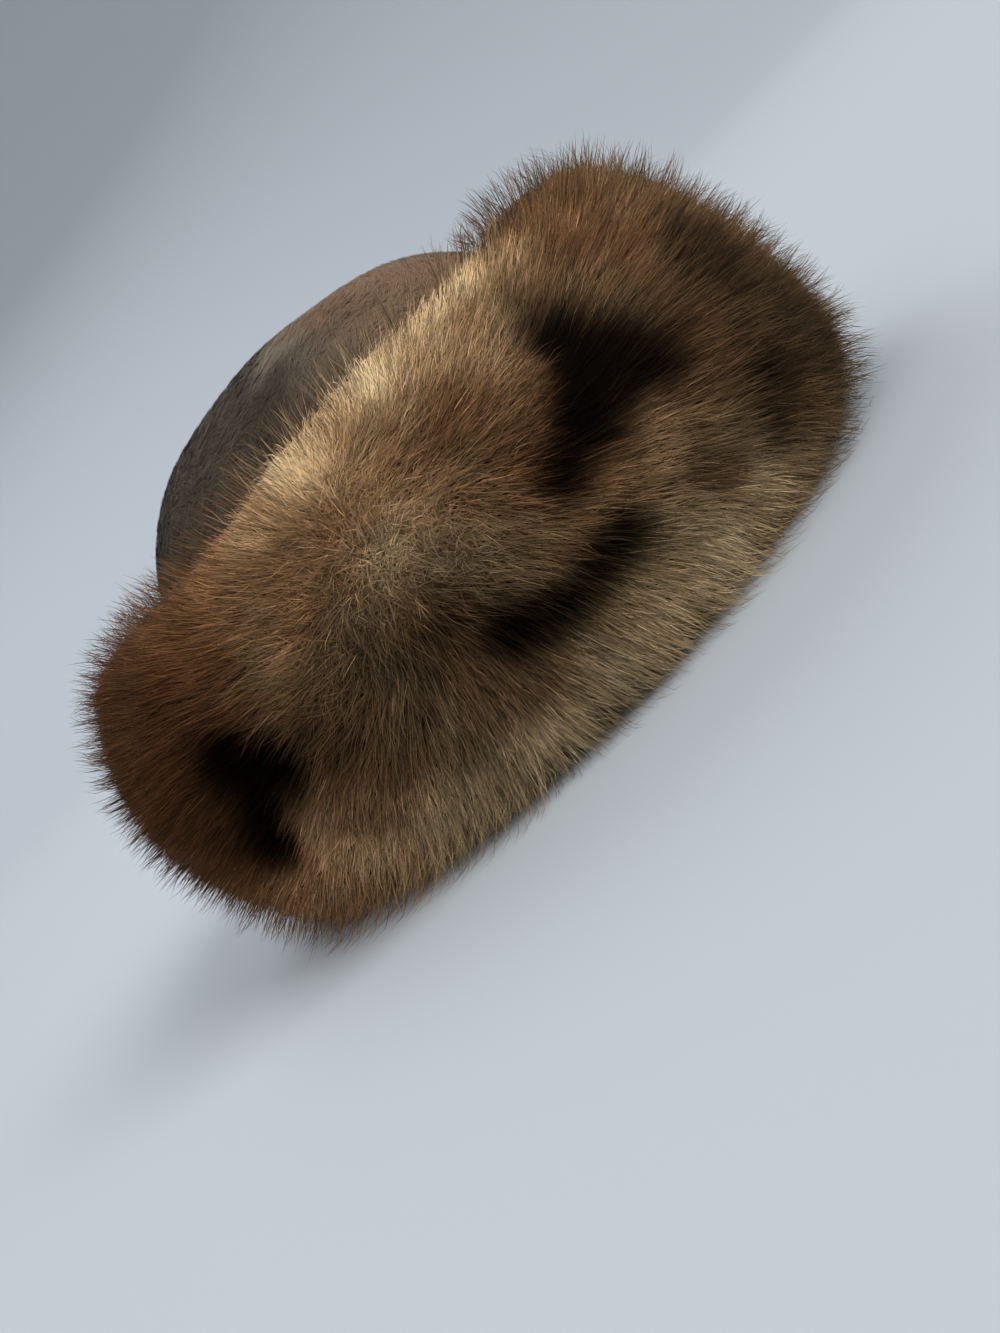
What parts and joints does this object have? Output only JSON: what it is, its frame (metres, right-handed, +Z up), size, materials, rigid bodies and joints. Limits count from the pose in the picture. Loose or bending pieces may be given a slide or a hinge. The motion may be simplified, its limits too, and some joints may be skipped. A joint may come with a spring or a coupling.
{
  "type": "fur-trimmed hat",
  "caption": "Deep round-crowned hat of mottled long-napped felt with a thick turned-up cuff of dense brown fur all round, hollow and open below.",
  "frame": {"origin": "middle of the hat's footprint, on the surface that it rests on", "axes": "+X toward the hat's front, +Y toward the wearer's left, +Z up through the crown"},
  "size_m": [0.3056, 0.2637, 0.154],
  "materials": {
    "felt": "long-napped felt, mottled grey and rust",
    "fur": "dense soft fur, mottled brown with glossy guard hairs"
  },
  "bodies": {
    "root": {"crown": "felt", "fur_cuff": "fur"}
  },
  "joints": []
}
